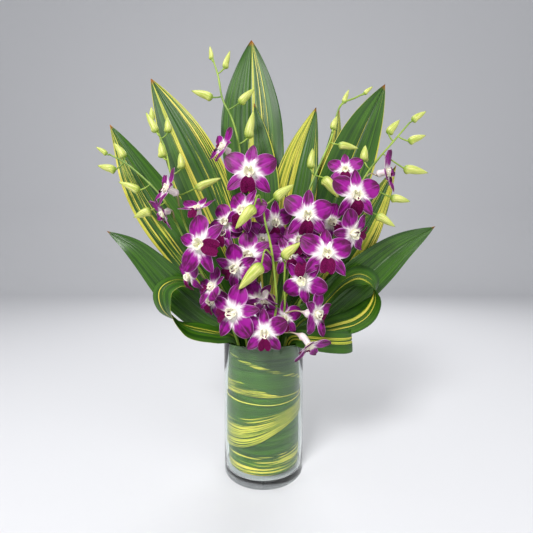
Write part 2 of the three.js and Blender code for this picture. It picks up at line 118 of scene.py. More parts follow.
def centripetal(points, steps=24):
    """A dense polyline along the centripetal Catmull-Rom curve through the points."""
    p = [vec(q) for q in points]
    p = [2 * p[0] - p[1]] + p + [2 * p[-1] - p[-2]]
    out = []
    for i in range(1, len(p) - 2):
        a, b, c, d = p[i - 1:i + 3]
        t0 = 0.0
        t1 = t0 + max(np.linalg.norm(b - a), 1e-6) ** 0.5
        t2 = t1 + max(np.linalg.norm(c - b), 1e-6) ** 0.5
        t3 = t2 + max(np.linalg.norm(d - c), 1e-6) ** 0.5
        for t in np.linspace(t1, t2, steps, endpoint=False):
            a1 = (t1 - t) / (t1 - t0) * a + (t - t0) / (t1 - t0) * b
            a2 = (t2 - t) / (t2 - t1) * b + (t - t1) / (t2 - t1) * c
            a3 = (t3 - t) / (t3 - t2) * c + (t - t2) / (t3 - t2) * d
            b1 = (t2 - t) / (t2 - t0) * a1 + (t - t0) / (t2 - t0) * a2
            b2 = (t3 - t) / (t3 - t1) * a2 + (t - t1) / (t3 - t1) * a3
            out.append((t2 - t) / (t2 - t1) * b1 + (t - t1) / (t2 - t1) * b2)
    out.append(p[-2])
    return np.array(out)


class Path:
    """A curve with positions and tangents by share of its length."""

    def __init__(self, points):
        self.line = centripetal(points)
        gaps = np.linalg.norm(np.diff(self.line, axis=0), axis=1)
        self.marks = np.concatenate([[0], np.cumsum(gaps)])
        self.length = self.marks[-1]

    def at(self, u):
        s = clamp01(np.asarray(u, float)) * self.length
        return np.stack([np.interp(s, self.marks, self.line[:, k]) for k in range(3)], -1)

    def tangent(self, u):
        u = np.asarray(u, float)
        step = 0.004
        d = self.at(u + step) - self.at(u - step)
        return d / np.linalg.norm(d, axis=-1, keepdims=True)


# ---- meshes ----------------------------------------------------------------------------------

class Skin:
    """Collects closed shells into one mesh, with a grain attribute: across, along, seed."""

    def __init__(self):
        self.points, self.grain, self.zone = [], [], []
        self.faces, self.slots = [], []
        self.count = 0

    def add_points(self, points, grain, zone=None):
        start = self.count
        points = np.asarray(points, float).reshape(-1, 3)
        self.points.append(points)
        self.grain.append(np.asarray(grain, float).reshape(-1, 3))
        zone = np.zeros(len(points)) if zone is None else np.asarray(zone, float)
        self.zone.append(zone.reshape(-1))
        self.count += len(points)
        return start

    def add_faces(self, quads, slot):
        self.faces.extend(quads)
        self.slots.extend([slot] * len(quads))

    def slab(self, front, back, grain, slots, zone=None):
        """A thin closed shell between two grids of the same size."""
        rows, cols = front.shape[:2]
        a = self.add_points(front, grain, zone)
        b = self.add_points(back, grain, zone)
        index = np.arange(rows * cols).reshape(rows, cols)
        q = np.stack([index[:-1, :-1], index[:-1, 1:], index[1:, 1:], index[1:, :-1]], -1).reshape(-1, 4)
        self.add_faces((q + a).tolist(), slots[0])
        self.add_faces((q[:, ::-1] + b).tolist(), slots[1])
        ring = np.concatenate([index[0, :-1], index[:-1, -1], index[-1, :0:-1], index[:0:-1, 0]])
        nxt = np.roll(ring, -1)
        rim = np.stack([ring + a, ring + b, nxt + b, nxt + a], -1)
        self.add_faces(rim.tolist(), slots[0])

    def tube(self, path, us, radius, sides, slot, seed=0.0):
        """A round rod along a path, closed at both ends."""
        centre = path.at(us)
        tangent = path.tangent(us)
        side = vec([0, -1, 0])
        angles = np.linspace(0, 2 * math.pi, sides, endpoint=False)
        rings = []
        for i in range(len(us)):
            side = side - side.dot(tangent[i]) * tangent[i]
            side = unit(side)
            other = np.cross(tangent[i], side)
            r = radius[i]
            ring = centre[i] + r * (np.outer(np.cos(angles), side) + np.outer(np.sin(angles), other))
            rings.append(ring)
        self.rings(np.array(rings), slot, seed)

    def rings(self, rings, slot, seed=0.0):
        """A closed loft through rings of points."""
        rows, sides = rings.shape[:2]
        u = np.linspace(0, 1, rows)
        grain = np.zeros((rows, sides, 3))
        around = np.abs(np.linspace(-1, 1, sides, endpoint=False))
        grain[..., 0] = around[None, :]
        grain[..., 1] = u[:, None]
        grain[..., 2] = seed
        a = self.add_points(rings, grain)
        index = np.arange(rows * sides).reshape(rows, sides) + a
        nxt = np.roll(index, -1, axis=1)
        q = np.stack([index[:-1], nxt[:-1], nxt[1:], index[1:]], -1).reshape(-1, 4)
        self.add_faces(q.tolist(), slot)
        self.add_faces([index[0, ::-1].tolist(), index[-1].tolist()], slot)

    def build(self, name, materials):
        mesh = bpy.data.meshes.new(name)
        mesh.from_pydata((np.concatenate(self.points) * MM).tolist(), [], self.faces)
        for look in materials:
            mesh.materials.append(look)
        mesh.polygons.foreach_set("material_index", self.slots)
        grain = mesh.attributes.new("grain", "FLOAT_VECTOR", "POINT")
        grain.data.foreach_set("vector", np.concatenate(self.grain).astype(np.float32).ravel())
        zone = mesh.attributes.new("zone", "FLOAT", "POINT")
        zone.data.foreach_set("value", np.concatenate(self.zone).astype(np.float32))
        work = bmesh.new()
        work.from_mesh(mesh)
        bmesh.ops.recalc_face_normals(work, faces=work.faces)
        work.to_mesh(mesh)
        work.free()
        mesh.polygons.foreach_set("use_smooth", [True] * len(mesh.polygons))
        piece = bpy.data.objects.new(name, mesh)
        bpy.context.scene.collection.objects.link(piece)
        return piece


def stand_for(piece, node):
    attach(piece, "root")
    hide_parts(node)


# ---- materials -------------------------------------------------------------------------------

class Look:
    """A material with short ways to add and join nodes."""

    def __init__(self, name):
        self.material = bpy.data.materials.new(name)
        self.material.use_nodes = True
        self.tree = self.material.node_tree
        self.shader = self.tree.nodes["Principled BSDF"]

    def node(self, kind, **settings):
        made = self.tree.nodes.new("ShaderNode" + kind)
        for key, value in settings.items():
            setattr(made, key, value)
        return made

    def feed(self, socket, value):
        if isinstance(value, bpy.types.NodeSocket):
            self.tree.links.new(value, socket)
        else:
            socket.default_value = value

    def set(self, **values):
        for key, value in values.items():
            self.feed(self.shader.inputs[key.replace("_", " ")], value)

    def math(self, operation, a, b=0.0, c=None):
        made = self.node("Math", operation=operation)
        self.feed(made.inputs[0], a)
        self.feed(made.inputs[1], b)
        if c is not None:
            self.feed(made.inputs[2], c)
        return made.outputs[0]

    def grain(self):
        made = self.node("Attribute", attribute_name="grain")
        parts = self.node("SeparateXYZ")
        self.feed(parts.inputs[0], made.outputs["Vector"])
        return parts.outputs[0], parts.outputs[1], parts.outputs[2]

    def zone(self):
        return self.node("Attribute", attribute_name="zone").outputs["Fac"]

    def noise(self, x, y, z, detail=2.0, rough=0.5):
        join = self.node("CombineXYZ")
        self.feed(join.inputs[0], x)
        self.feed(join.inputs[1], y)
        self.feed(join.inputs[2], z)
        made = self.node("TexNoise")
        made.inputs["Scale"].default_value = 1.0
        made.inputs["Detail"].default_value = detail
        made.inputs["Roughness"].default_value = rough
        self.feed(made.inputs["Vector"], join.outputs[0])
        return made.outputs["Fac"]

    def space_noise(self, scale, detail=2.0):
        made = self.node("TexNoise")
        made.inputs["Scale"].default_value = scale
        made.inputs["Detail"].default_value = detail
        coords = self.node("TexCoord")
        self.feed(made.inputs["Vector"], coords.outputs["Object"])
        return made.outputs["Fac"]

    def step(self, value, low, high):
        made = self.node("MapRange", interpolation_type="SMOOTHSTEP")
        self.feed(made.inputs["Value"], value)
        made.inputs["From Min"].default_value = low
        made.inputs["From Max"].default_value = high
        return made.outputs["Result"]

    def mix(self, factor, a, b):
        made = self.node("Mix", data_type="RGBA")
        self.feed(made.inputs["Factor"], factor)
        self.feed(made.inputs["A"], a if isinstance(a, bpy.types.NodeSocket) else (*a, 1))
        self.feed(made.inputs["B"], b if isinstance(b, bpy.types.NodeSocket) else (*b, 1))
        return made.outputs["Result"]

    def bump(self, height, strength, distance):
        made = self.node("Bump")
        made.inputs["Strength"].default_value = strength
        made.inputs["Distance"].default_value = distance
        self.feed(made.inputs["Height"], height)
        self.feed(self.shader.inputs["Normal"], made.outputs["Normal"])


DARK_GREEN = (0.011, 0.052, 0.002)
MID_GREEN = (0.035, 0.115, 0.003)
LIGHT_GREEN = (0.085, 0.20, 0.006)
YELLOW = (0.70, 0.58, 0.085)
YELLOW_GREEN = (0.30, 0.37, 0.016)
TIP_BROWN = (0.40, 0.14, 0.02)


def leaf_look(name, roughness, coat, bumpy=0.35):
    """Green leaf blade with lengthwise streaks of yellow wherever its zone says."""
    look = Look(name)
    s, u, seed = look.grain()
    shift = look.math("MULTIPLY", seed, 7.3)
    broad = look.noise(look.math("MULTIPLY", s, 6.0), look.math("MULTIPLY", u, 2.5), shift, 3.0)
    green = look.mix(look.step(broad, 0.35, 0.7), DARK_GREEN, MID_GREEN)
    fine = look.noise(look.math("MULTIPLY", s, 42.0), look.math("MULTIPLY", u, 2.0), shift, 2.0)
    green = look.mix(look.step(fine, 0.5, 0.85), green, LIGHT_GREEN)
    streak = look.noise(look.math("MULTIPLY", s, 18.0), look.math("MULTIPLY", u, 3.5), shift, 5.0, 0.62)
    level = look.math("ADD", look.zone(), look.math("MULTIPLY", look.math("SUBTRACT", streak, 0.5), 3.4))
    mask = look.step(level, 0.5, 0.62)
    tone = look.noise(look.math("MULTIPLY", s, 30.0), look.math("MULTIPLY", u, 3.0), shift, 2.0)
    yellow = look.mix(look.step(tone, 0.35, 0.65), YELLOW_GREEN, YELLOW)
    colour = look.mix(mask, green, yellow)
    tip = look.step(u, 0.982, 1.0)
    colour = look.mix(tip, colour, TIP_BROWN)
    rough = look.math("MULTIPLY_ADD", fine, 0.16, roughness - 0.08)
    look.set(Base_Color=colour, Roughness=rough)
    look.shader.inputs["Specular IOR Level"].default_value = 0.3
    look.shader.inputs["Coat Weight"].default_value = coat
    look.shader.inputs["Coat Roughness"].default_value = 0.25
    veins = look.noise(look.math("MULTIPLY", s, 90.0), look.math("MULTIPLY", u, 4.0), shift, 1.0)
    look.bump(veins, bumpy, 0.0006)
    return look.material


def petal_look(name, white_to, strength, pale_edge, back=False):
    """Magenta petal, white at the base, pale along its edge and midrib, with faint veins."""
    look = Look(name)
    s, u, seed = look.grain()
    shift = look.math("MULTIPLY", seed, 5.1)
    off = look.math("ABSOLUTE", s)
    ripple = look.noise(look.math("MULTIPLY", s, 5.0), look.math("MULTIPLY", u, 1.5), shift, 2.0)
    reach = look.math("ADD", u, look.math("MULTIPLY", look.math("SUBTRACT", ripple, 0.5), 0.32))
    reach = look.math("SUBTRACT", reach, look.math("MULTIPLY", look.math("POWER", off, 3.0), 0.14))
    bright = (0.255, 0.0, 0.215)
    deep = (0.075, 0.0, 0.042)
    tone = look.noise(look.math("MULTIPLY", s, 2.2), look.math("MULTIPLY", u, 2.6), shift, 2.0)
    rise = look.math("ADD", tone, look.math("MULTIPLY", look.math("SUBTRACT", u, 0.6), 0.5))
    body = look.mix(look.step(rise, 0.38, 0.68), bright, deep)
    vein = look.noise(look.math("MULTIPLY", s, 24.0), look.math("MULTIPLY", u, 1.2), shift, 2.0)
    body = look.mix(look.math("MULTIPLY", look.step(vein, 0.55, 0.8), 0.3), body, (0.36, 0.006, 0.31))
    midrib = look.math("SUBTRACT", 1.0, look.step(off, 0.02, 0.1))
    body = look.mix(look.math("MULTIPLY", midrib, 0.3), body, (0.45, 0.04, 0.40))
    edge = look.step(off, 0.9, 1.0)
    body = look.mix(look.math("MULTIPLY", edge, pale_edge), body, (0.80, 0.42, 0.80))
    white = (0.86, 0.80, 0.80)
    if back:
        body = look.mix(0.45, body, (0.80, 0.62, 0.76))
    fade = look.step(reach, white_to - 0.12, white_to + 0.16)
    colour = look.mix(fade, white, body)
    look.set(Base_Color=colour)
    look.shader.inputs["Roughness"].default_value = 0.5
    look.shader.inputs["Specular IOR Level"].default_value = 0.25
    look.shader.inputs["Subsurface Weight"].default_value = strength
    look.shader.inputs["Subsurface Radius"].default_value = (0.004, 0.0015, 0.003)
    look.bump(vein, 0.3, 0.0005)
    return look.material


def lip_look():
    """Velvet dark purple lip with a white tongue at its base."""
    look = Look("orchid_lip")
    s, u, _ = look.grain()
    fuzz = look.space_noise(900.0, 3.0)
    dark = look.mix(look.step(fuzz, 0.35, 0.7), (0.07, 0.0, 0.025), (0.17, 0.0, 0.075))
    off = look.math("ABSOLUTE", s)
    tongue = look.math("ADD", u, look.math("MULTIPLY", off, 0.35))
    colour = look.mix(look.step(tongue, 0.24, 0.36), (0.88, 0.84, 0.74), dark)
    edge = look.step(off, 0.93, 1.0)
    colour = look.mix(look.math("MULTIPLY", edge, 0.5), colour, (0.6, 0.2, 0.5))
    look.set(Base_Color=colour)
    look.shader.inputs["Roughness"].default_value = 0.75
    look.shader.inputs["Specular IOR Level"].default_value = 0.12
    look.bump(fuzz, 0.5, 0.0007)
    return look.material


def throat_look():
    """Ivory throat and column, greener deep inside."""
    look = Look("orchid_throat")
    _, u, _ = look.grain()
    tint = look.space_noise(260.0, 2.0)
    ivory = look.mix(tint, (0.88, 0.84, 0.72), (0.80, 0.78, 0.55))
    colour = look.mix(look.step(u, 0.5, 0.0), ivory, (0.50, 0.55, 0.14))
    look.set(Base_Color=colour)
    look.shader.inputs["Roughness"].default_value = 0.45
    look.shader.inputs["Subsurface Weight"].default_value = 0.15
    look.shader.inputs["Subsurface Radius"].default_value = (0.004, 0.003, 0.002)
    look.bump(tint, 0.2, 0.0005)
    return look.material


def chin_look():
    """The chin and pedicel: pinkish green at the stem, white where the sepals join."""
    look = Look("orchid_chin")
    s, u, seed = look.grain()
    line = look.noise(look.math("MULTIPLY", s, 9.0), look.math("MULTIPLY", u, 3.0), seed, 2.0)
    pale = look.mix(look.step(line, 0.4, 0.75), (0.84, 0.78, 0.72), (0.70, 0.45, 0.62))
    stalk = look.mix(line, (0.30, 0.36, 0.08), (0.42, 0.20, 0.22))
    colour = look.mix(look.step(u, 0.35, 0.72), stalk, pale)
    look.set(Base_Color=colour)
    look.shader.inputs["Roughness"].default_value = 0.5
    look.shader.inputs["Subsurface Weight"].default_value = 0.1
    look.shader.inputs["Subsurface Radius"].default_value = (0.004, 0.002, 0.002)
    look.bump(line, 0.25, 0.0006)
    return look.material


def bud_look():
    """Yellow-green bud, greener at its base, with faint lengthwise veins and a blush."""
    look = Look("orchid_bud")
    s, u, seed = look.grain()
    line = look.noise(look.math("MULTIPLY", s, 16.0), look.math("MULTIPLY", u, 1.6), seed, 2.0)
    colour = look.mix(look.step(line, 0.35, 0.7), (0.38, 0.46, 0.06), (0.68, 0.68, 0.22))
    blush = look.noise(look.math("MULTIPLY", s, 3.0), look.math("MULTIPLY", u, 4.0), seed, 2.0)
    colour = look.mix(look.math("MULTIPLY", look.step(blush, 0.58, 0.8), 0.35), colour, (0.62, 0.34, 0.30))
    colour = look.mix(look.step(u, 0.22, 0.0), colour, (0.22, 0.34, 0.03))
    colour = look.mix(look.step(u, 0.9, 1.0), colour, (0.20, 0.30, 0.025))
    look.set(Base_Color=colour)
    look.shader.inputs["Roughness"].default_value = 0.42
    look.shader.inputs["Subsurface Weight"].default_value = 0.15
    look.shader.inputs["Subsurface Radius"].default_value = (0.004, 0.004, 0.001)
    look.bump(line, 0.3, 0.0006)
    return look.material


def stem_look():
    """Smooth green stem with darker and paler runs."""
    look = Look("spray_stem")
    run = look.space_noise(40.0, 3.0)
    colour = look.mix(look.step(run, 0.3, 0.7), (0.12, 0.22, 0.02), (0.30, 0.42, 0.05))
    fine = look.space_noise(700.0, 2.0)
    look.set(Base_Color=colour, Roughness=look.math("MULTIPLY_ADD", fine, 0.2, 0.32))
    look.bump(fine, 0.25, 0.0004)
    return look.material


def glass_look():
    """Clear glass with a faint green body colour."""
    look = Look("clear_glass")
    smear = look.space_noise(18.0, 3.0)
    look.set(Roughness=look.math("MULTIPLY", look.step(smear, 0.5, 0.8), 0.03))
    look.shader.inputs["Base Color"].default_value = (0.9, 0.96, 0.93, 1)
    look.shader.inputs["IOR"].default_value = 1.47
    look.shader.inputs["Specular IOR Level"].default_value = 0.12
    look.shader.inputs["Transmission Weight"].default_value = 1.0
    return look.material


LOOKS = {
    "leaf": leaf_look("variegated_leaf", 0.42, 0.06),
    "liner": leaf_look("liner_leaf", 0.5, 0.0, 0.1),
    "plain": leaf_look("plain_leaf", 0.27, 0.3),
    "petal": petal_look("orchid_petal", 0.23, 0.03, 0.4),
    "sepal": petal_look("orchid_sepal", 0.28, 0.03, 0.75),
    "back": petal_look("orchid_petal_back", 0.4, 0.03, 0.5, back=True),
    "lip": lip_look(),
    "throat": throat_look(),
    "chin": chin_look(),
    "bud": bud_look(),
    "stem": stem_look(),
    "glass": glass_look(),
}


# ---- vase ------------------------------------------------------------------------------------

def round_corner(centre, radius, start, end, steps=5):
    angles = np.radians(np.linspace(start, end, steps))
    return [(centre[0] + radius * math.cos(a), centre[1] + radius * math.sin(a)) for a in angles]


def build_vase():
    """The blown cylinder: soft foot edge, fire-polished rim and a thick floor."""
    inner = VASE_RADIUS - VASE_WALL
    rim = VASE_WALL / 2
    profile = [(0.01, 0), (VASE_RADIUS - 6, 0)]
    profile += round_corner((VASE_RADIUS - FOOT_ROUND, FOOT_ROUND), FOOT_ROUND, -90, 0)
    profile += [(VASE_RADIUS, VASE_HEIGHT * k / 4) for k in (1, 2, 3)]
    profile += round_corner((VASE_RADIUS - rim, VASE_HEIGHT - rim), rim, 0, 180, 9)
    profile += [(inner, VASE_HEIGHT * k / 4) for k in (3, 2, 1)]
    profile += round_corner((inner - FLOOR_ROUND, VASE_FLOOR + FLOOR_ROUND), FLOOR_ROUND, 0, -90)
    profile += [(0.01, VASE_FLOOR)]
    angles = np.linspace(0, 2 * math.pi, VASE_SIDES, endpoint=False)
    x, y = np.cos(angles), np.sin(angles)
    rings = [np.stack([r * x, r * y, np.full(VASE_SIDES, z)], -1) for r, z in profile]
    skin = Skin()
    skin.rings(np.array(rings), 0)
    piece = skin.build("glass_vase", [LOOKS["glass"]])
    piece.visible_shadow = False
    stand_for(piece, "vase")


# ---- leaves ----------------------------------------------------------------------------------

def stalk_line(slot):
    foot = vec([slot[0] * FOOT_SPREAD, slot[1] * FOOT_SPREAD, FOOT_LEVEL])
    mouth = vec([slot[0], slot[1], VASE_HEIGHT + 2])
    return [foot, (foot + mouth) / 2, mouth]


def zone_of(bands, s, u):
    """How yellow the blade is: the strongest of its bands at that place across."""
    value = np.full(s.shape, -0.75)
    for low, high, strength, *end in bands:
        low_end, high_end = end or (low, high)
        low = low + (low_end - low) * u
        high = high + (high_end - high) * u
        soft = 0.035
        inside = smooth(low - soft, low + soft, s) * (1 - smooth(high - soft, high + soft, s))
        value = np.maximum(value, -0.75 + (strength + 0.75) * inside)
    return value


def blade(skin, path, across_of, shape, name, bands, grid, wave=1.4):
    """A leaf blade as a thin closed shell with a folded midrib, pleats and a wavy margin."""
    rng = random.Random(name)
    u = np.linspace(0, 1, grid[0])
    s = np.linspace(-1, 1, grid[1])
    centre = path.at(u)
    tangent = path.tangent(u)
    across = across_of(tangent)
    across /= np.linalg.norm(across, axis=1, keepdims=True)
    face = np.cross(across, tangent)
    half, thick, cup, flat = shape(u)
    grid_s, grid_u = np.meshgrid(s, u)
    phase = [rng.uniform(0, 6.28) for _ in range(6)]
    ripple = wave * np.sin(grid_u * 21 + phase[0] + np.where(grid_s > 0, phase[1], phase[2]))
    ripple += 0.6 * wave * np.sin(grid_u * 38 + np.where(grid_s > 0, phase[3], phase[4]))
    lift = cup[:, None] * grid_s ** 2 + ripple * grid_s ** 4 * flat[:, None]
    lift -= 1.1 * np.exp(-(grid_s / 0.05) ** 2) * flat[:, None]
    lift += 0.28 * np.sin(grid_s * 40 + phase[5]) * (1 - np.abs(grid_s)) * flat[:, None]
    body = thick[:, None] * (0.28 + 0.72 * np.sqrt(np.clip(1 - grid_s ** 2, 0, 1))) / 2
    rib = 1.3 * np.exp(-(grid_s / 0.06) ** 2) * flat[:, None]
    base = centre[:, None, :] + (grid_s * half[:, None])[..., None] * across[:, None, :]
    front = base + (lift + body)[..., None] * face[:, None, :]
    back = base + (lift - body - rib)[..., None] * face[:, None, :]
    seed = rng.uniform(0, 30)
    grain = np.stack([grid_s, grid_u, np.full_like(grid_s, seed)], -1)
    skin.slab(front, back, grain, (0, 0), zone_of(bands, grid_s, grid_u))


def leaf_shape(spec):
    def shape(u):
        v = clamp01((u - spec["stalk"]) / (1 - spec["stalk"]))
        swell = np.sin(math.pi * v ** spec["belly"]).clip(0) ** 0.9
        half = STALK_HALF_WIDTH * (1 - v) + (spec["half"] - STALK_HALF_WIDTH) * swell
        flat = np.minimum(1, v * 6)
        thick = STALK_THICKNESS + (LEAF_THICKNESS - STALK_THICKNESS) * flat
        return np.maximum(half, 0.3), thick, LEAF_CUP * half * flat, flat
    return shape


def build_leaf(spec):
    path = Path(stalk_line(spec["slot"]) + spec["route"])
    face = direction(*spec["facing"])
    skin = Skin()
    blade(skin, path, lambda t: np.cross(t, face), leaf_shape(spec), spec["name"], spec["bands"], LEAF_GRID)
    look = "plain" if spec.get("plain") else "leaf"
    piece = skin.build("blade_" + spec["name"], [LOOKS[look]])
    stand_for(piece, spec["name"])


LEAVES = [
    dict(name="leaf_top", slot=(-10, 42), half=54, belly=1.35, stalk=0.38, facing=(0, 4),
         route=[(-9, 46, 330), (-14, 50, 450), (-21, 54, 570), (-21, 64, 702)],
         bands=[(0.03, 0.16, 0.95), (0.16, 0.58, 0.4), (0.58, 0.7, 0.1), (0.97, 1.1, 0.5)]),
    dict(name="leaf_centre", slot=(-1, 26), half=27, belly=1.2, stalk=0.42, facing=(0, 4),
         route=[(4, 28, 340), (0, 30, 450), (-8, 35, 530), (-16, 42, 588)],
         bands=[(-1.1, -0.5, 0.85), (0.9, 1.1, 0.8)]),
    dict(name="leaf_left", slot=(-27, 36), half=48, belly=1.25, stalk=0.3, facing=(-6, 4),
         route=[(-48, 50, 310), (-90, 58, 425), (-140, 60, 535), (-193, 62, 637)],
         bands=[(-1.1, -0.93, 0.9), (-0.42, -0.16, 0.85), (0.2, 0.5, 0.2), (0.5, 0.9, 0.5), (0.9, 1.1, 0.9)]),
    dict(name="leaf_left_low", slot=(-39, 23), half=43, belly=1.15, stalk=0.28, facing=(-12, 8),
         route=[(-75, 28, 270), (-130, 34, 350), (-193, 38, 440), (-257, 44, 553)],
         bands=[(-1.1, -0.86, 0.9), (-0.8, -0.2, 0.42), (-0.03, 0.01, 1.1)]),
    dict(name="leaf_centre_right", slot=(12, 30), half=40, belly=1.15, stalk=0.32, facing=(4, 4),
         route=[(32, 38, 330), (48, 40, 430), (66, 42, 510), (88, 48, 583)],
         bands=[(-1.1, -0.05, 0.7), (0.66, 1.1, 0.5)]),
    dict(name="leaf_behind_right", slot=(19, 43), half=24, belly=1.2, stalk=0.32, facing=(6, 4),
         route=[(55, 62, 320), (98, 68, 430), (120, 70, 510), (132, 74, 590)],
         bands=[(-1.1, -0.1, 0.6), (0.1, 1.1, 0.5)]),
    dict(name="leaf_right", slot=(30, 36), half=44, belly=1.45, stalk=0.28, facing=(8, 4),
         route=[(75, 48, 320), (130, 50, 450), (170, 50, 550), (205, 54, 624)],
         bands=[(-1.1, -0.95, 0.8), (-0.5, -0.44, 0.5), (-0.03, 0.03, 1.0), (0.48, 0.54, 0.6),
                (0.7, 0.76, 0.5), (0.93, 1.1, 0.9)]),
    dict(name="leaf_right_low", slot=(40, 24), half=32, belly=1.2, stalk=0.26, facing=(14, 8),
         route=[(88, 26, 270), (135, 30, 330), (178, 32, 400), (219, 36, 484)],
         bands=[(-1.1, -0.2, 0.4), (0.25, 1.1, 0.75)]),
    dict(name="side_leaf_left", slot=(-48, 9), half=32, belly=1.1, stalk=0.2, facing=(-14, 12), plain=True,
         route=[(-92, 14, 238), (-150, 13, 288), (-205, 12, 345), (-252, 16, 374)], bands=[]),
    dict(name="side_leaf_right", slot=(48, 10), half=38, belly=1.15, stalk=0.2, facing=(14, 12), plain=True,
         route=[(94, 15, 242), (150, 14, 290), (215, 13, 346), (277, 18, 382)], bands=[]),
]


def loop_shape(spec):
    def shape(u):
        v = clamp01((u - spec["stalk"]) / (spec["taper"] - spec["stalk"]))
        swell = np.sin(math.pi * v).clip(0) ** 0.7
        flat = np.minimum(1, swell * 2)
        thick = STALK_THICKNESS + (LEAF_THICKNESS - STALK_THICKNESS) * flat
        half = STALK_HALF_WIDTH + (spec["half"] - STALK_HALF_WIDTH) * swell
        return half, thick, 0 * half, flat
    return shape


def build_loop(spec):
    ends = stalk_line(spec["tuck"])[::-1][:2]
    path = Path(stalk_line(spec["slot"]) + spec["route"] + ends)
    twist = Path(spec["across"])
    turn = clamp01((np.linspace(0, 1, LOOP_GRID[0]) - TWIST_START) / (TWIST_END - TWIST_START))
    width = twist.at(turn)
    skin = Skin()
    blade(skin, path, lambda t: width - (t * width).sum(1)[:, None] * t, loop_shape(spec),
          spec["name"], spec["bands"], LOOP_GRID, wave=0.5)
    piece = skin.build("band_" + spec["name"], [LOOKS["leaf"]])
    stand_for(piece, spec["name"])


LOOPS = [
    dict(name="loop_leaf_left", slot=(-46, -16), tuck=(-42, -4), half=22, stalk=0.26, taper=0.8,
         across=[(0.2, -0.6, -0.6), (0.75, -0.6, -0.2), (0.4, -0.8, -0.35)],
         route=[(-74, -32, 218), (-115, -38, 230), (-144, -38, 257), (-148, -34, 284), (-129, -26, 296),
                (-96, -20, 286), (-64, -12, 250)],
         bands=[(-0.42, -0.28, 0.85), (-0.06, 0.06, 0.9), (0.24, 0.3, 0.7), (0.94, 1.1, 0.5)]),
    dict(name="loop_leaf_right", slot=(47, -10), tuck=(44, 1), half=22, stalk=0.26, taper=0.8,
         across=[(-0.15, -0.65, -0.7), (-0.16, -0.66, -0.68), (-0.15, -0.65, -0.7)],
         route=[(80, -26, 222), (110, -34, 232), (134, -36, 240), (153, -34, 254), (164, -30, 275),
                (162, -24, 296), (146, -18, 305), (124, -12, 295), (90, -8, 258)],
         bands=[(-0.2, 0.02, 0.8), (0.24, 0.42, 0.8), (0.94, 1.1, 0.5)]),
    dict(name="loop_leaf_right_low", slot=(40, -28), tuck=(46, -21), half=17, stalk=0.3, taper=0.84,
         across=[(0.1, 0.1, -1), (0.1, 0.1, -1), (0.1, 0.1, -1)],
         route=[(62, -48, 214), (92, -56, 213), (118, -54, 212), (129, -42, 212), (118, -32, 213),
                (88, -30, 214), (64, -26, 213)],
         bands=[(-0.4, -0.16, 0.85), (-0.02, 0.2, 0.85)]),
]


# Rolled lining leaves: each is wound round the inside of the wall, the first one outermost. A level
# is its angle round the vase from the front, and the heights of its lower and upper edges there.
# A band is where yellow runs across it: from, to, strength, and from and to at the far end.
LINERS = [
    dict(name="liner_leaf_middle",
         levels=[(-150, 40, 90), (-90, 48, 124), (-30, 57, 124), (28, 85, 122), (73, 102, 128),
                 (120, 118, 150), (165, 140, 180)],
         bands=[(-1.1, -0.3, 0.55, -1.1, 0.8), (-0.3, 0.0, 0.35, 0.6, 0.8), (-1.1, -0.93, 0.9),
                (0.95, 1.1, 0.75)]),
    dict(name="liner_leaf_top",
         levels=[(-175, 112, 180), (-90, 130, 201), (-39, 134, 202), (10, 132, 202), (73, 128, 202),
                 (130, 120, 201), (170, 118, 170)],
         bands=[(-1.1, 0.75, 0.5, -1.1, -2.2), (-1.1, -0.94, 0.9), (1.5, 1.7, 0.5, -1.35, -1.15)]),
    dict(name="liner_leaf_bottom",
         levels=[(-175, 18, 60), (-90, 18, 130), (0, 18, 132), (90, 18, 128), (150, 18, 60)],
         bands=[(-1.1, -0.85, 0.5, -1.1, -0.35), (-0.8, -0.75, 0.9, -0.35, -0.3), (-0.1, 0.0, 0.3)]),
]


def build_liner(spec, layer):
    radius = VASE_RADIUS - VASE_WALL - LINER_GAP - layer * LINER_STEP
    u = np.linspace(0, 1, LINER_GRID[0])
    edge = Path(spec["levels"]).at(u)
    s = np.linspace(-1, 1, LINER_GRID[1])
    grid_s, grid_a = np.meshgrid(s, np.radians(edge[:, 0]))
    grid_u = np.repeat(u[:, None], len(s), 1)
    level = (edge[:, 1:2] * (1 - grid_s) + edge[:, 2:3] * (1 + grid_s)) / 2
    radial = radius - 0.2 * np.abs(np.sin(grid_s * 30))
    inside = radial - LINER_THICKNESS
    front = np.stack([radial * np.sin(grid_a), -radial * np.cos(grid_a), level], -1)
    back = np.stack([inside * np.sin(grid_a), -inside * np.cos(grid_a), level], -1)
    grain = np.stack([grid_s * 1.3, 0.1 + 0.85 * grid_u, np.full_like(grid_u, 3.7 + 5 * layer)], -1)
    skin = Skin()
    skin.slab(front, back, grain, (0, 0), zone_of(spec["bands"], grid_s, grid_u))
    piece = skin.build("rolled_" + spec["name"], [LOOKS["liner"]])
    stand_for(piece, spec["name"])


# ---- sprays ----------------------------------------------------------------------------------

def stem_path(spec):
    return Path(stalk_line(spec["slot"]) + spec["route"])


def nearest_on_stem(path, place):
    points = path.at(np.linspace(0, 1, 161))
    points = points[points[:, 2] > VASE_HEIGHT + STEM_CLEAR]
    return points[np.argmin(np.linalg.norm(points - place, axis=1))]


